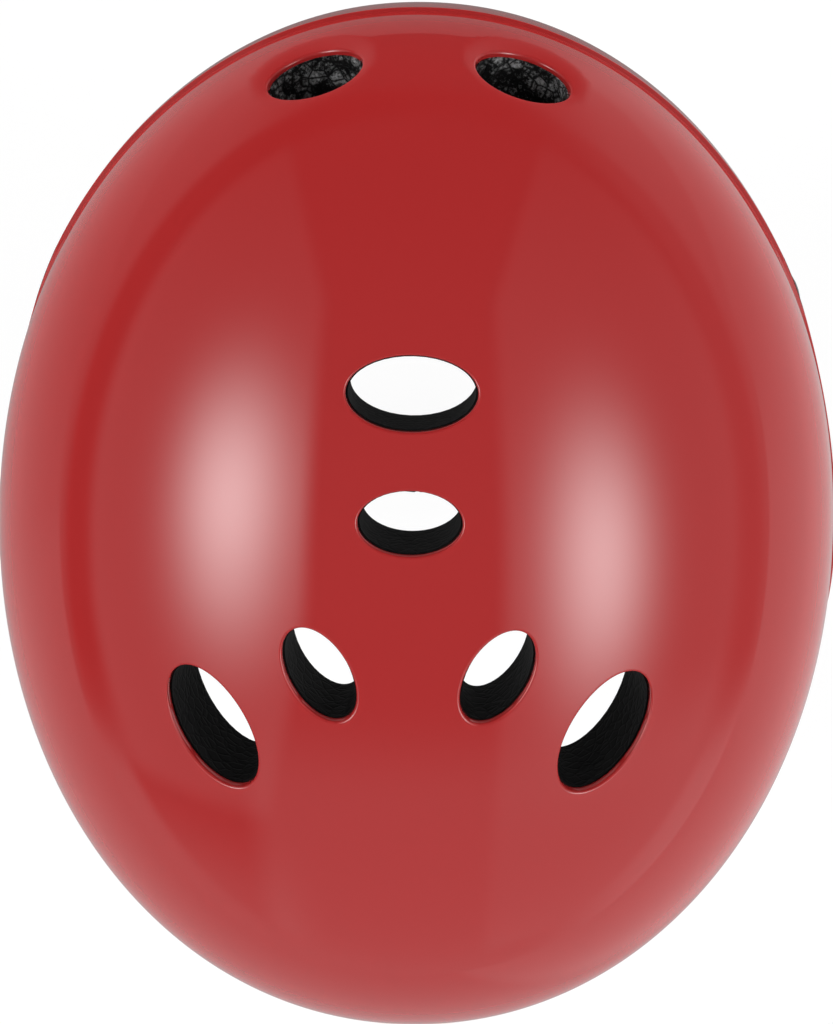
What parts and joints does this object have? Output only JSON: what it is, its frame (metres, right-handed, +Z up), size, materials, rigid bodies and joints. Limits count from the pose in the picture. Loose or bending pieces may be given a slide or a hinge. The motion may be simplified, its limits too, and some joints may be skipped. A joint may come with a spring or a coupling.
{
  "type": "skateboard helmet",
  "caption": "Vented hard-shell skateboard helmet with foam liner, comfort pads, webbing straps and a side-release chin buckle.",
  "frame": {"origin": "centre of the head opening in the plane of the front edge, midway across and along the shell", "axes": "+Z up through the crown, the front faces -Y, +X is the wearer's left"},
  "size_m": [0.2185, 0.2652, 0.275],
  "materials": {
    "shell": "glossy moulded red",
    "foam": "moulded black bead foam",
    "rivet": "black lacquered steel",
    "webbing": "woven black nylon webbing",
    "buckle_plastic": "fine-grained black plastic",
    "keeper_rubber": "black rubber",
    "pad_cloth": "brushed black lining cloth over foam",
    "hook_nylon": "hook-and-loop tape"
  },
  "bodies": {
    "helmet": {"outer_shell": "shell", "foam_liner": "foam", "strap_rivets": "rivet", "rivet_washers": "rivet", "front_strap_left": "webbing", "front_strap_right": "webbing", "rear_strap_left": "webbing", "rear_strap_right": "webbing", "brow_pad": "pad_cloth", "nape_pad": "pad_cloth", "side_pad_left": "pad_cloth", "side_pad_right": "pad_cloth", "crown_pad_left": "pad_cloth", "crown_pad_right": "pad_cloth", "hook_patches": "hook_nylon"},
    "chin_loop": {"strap_divider_left": "buckle_plastic", "strap_divider_right": "buckle_plastic", "chin_strap_left": "webbing", "chin_strap_right": "webbing", "buckle_socket": "buckle_plastic"},
    "buckle_male": {"buckle_insert": "buckle_plastic"},
    "arm_front": {"release_arm_front": "buckle_plastic"},
    "arm_rear": {"release_arm_rear": "buckle_plastic"},
    "keeper": {"strap_keeper": "keeper_rubber"}
  },
  "joints": [
    {"name": "chin_loop_swing", "type": "hinge", "parent": "helmet", "child": "chin_loop", "pos_m": [0, 0.0104, -0.071], "axis": [1, 0, 0], "range_deg": [-30, 30], "deforming": ["front_strap_left", "front_strap_right", "rear_strap_left", "rear_strap_right"]},
    {"name": "buckle_pull", "type": "slide", "parent": "chin_loop", "child": "buckle_male", "axis": [-1, 0, 0], "range_m": [0, 0.016], "deforming": ["chin_strap_right", "release_arm_front", "release_arm_rear"]},
    {"name": "arm_front_squeeze", "type": "hinge", "parent": "buckle_male", "child": "arm_front", "pos_m": [-0.0053, 0.0032, -0.145], "axis": [0, 0, 1], "range_deg": [0, 13], "stiffness_Nm_per_rad": 0.3},
    {"name": "arm_rear_squeeze", "type": "hinge", "parent": "buckle_male", "child": "arm_rear", "pos_m": [-0.0053, 0.0176, -0.145], "axis": [0, 0, -1], "range_deg": [0, 13], "stiffness_Nm_per_rad": 0.3},
    {"name": "keeper_slide", "type": "slide", "parent": "chin_loop", "child": "keeper", "axis": [-0.8253, 0, 0.5647], "range_m": [-0.006, 0.006]}
  ]
}
